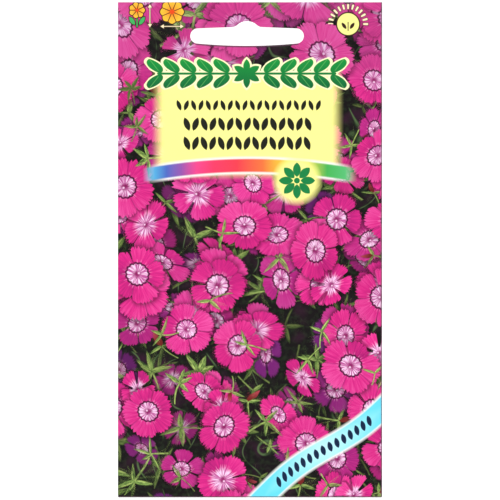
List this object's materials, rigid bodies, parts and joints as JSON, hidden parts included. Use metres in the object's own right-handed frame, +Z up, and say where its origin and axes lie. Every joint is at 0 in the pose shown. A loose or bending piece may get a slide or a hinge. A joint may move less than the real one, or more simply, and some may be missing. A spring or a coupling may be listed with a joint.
{
  "type": "seed packet",
  "caption": "Flat paper seed packet with a printed front of pink flowers, a punched hanging slot in its header, a glued lap down the back and a folded-up bottom.",
  "frame": {"origin": "top of the hanging slot's arch, midway between the header's two layers, where the peg bears", "axes": "+Z up with the packet hanging, -Y out of the printed front, +Y out of the back, +X to the right seen from the front"},
  "size_m": [0.08, 0.004, 0.15],
  "materials": {
    "printed_paper": "coated, printed, semi-gloss",
    "glue": "dried paper adhesive",
    "seed_coat": "dull, finely rough"
  },
  "bodies": {
    "root": {"packet": "printed_paper", "seam_glue": "glue", "header_glue_upper": "glue", "header_glue_lower": "glue", "bottom_glue": "glue", "seeds": "seed_coat"}
  },
  "joints": []
}
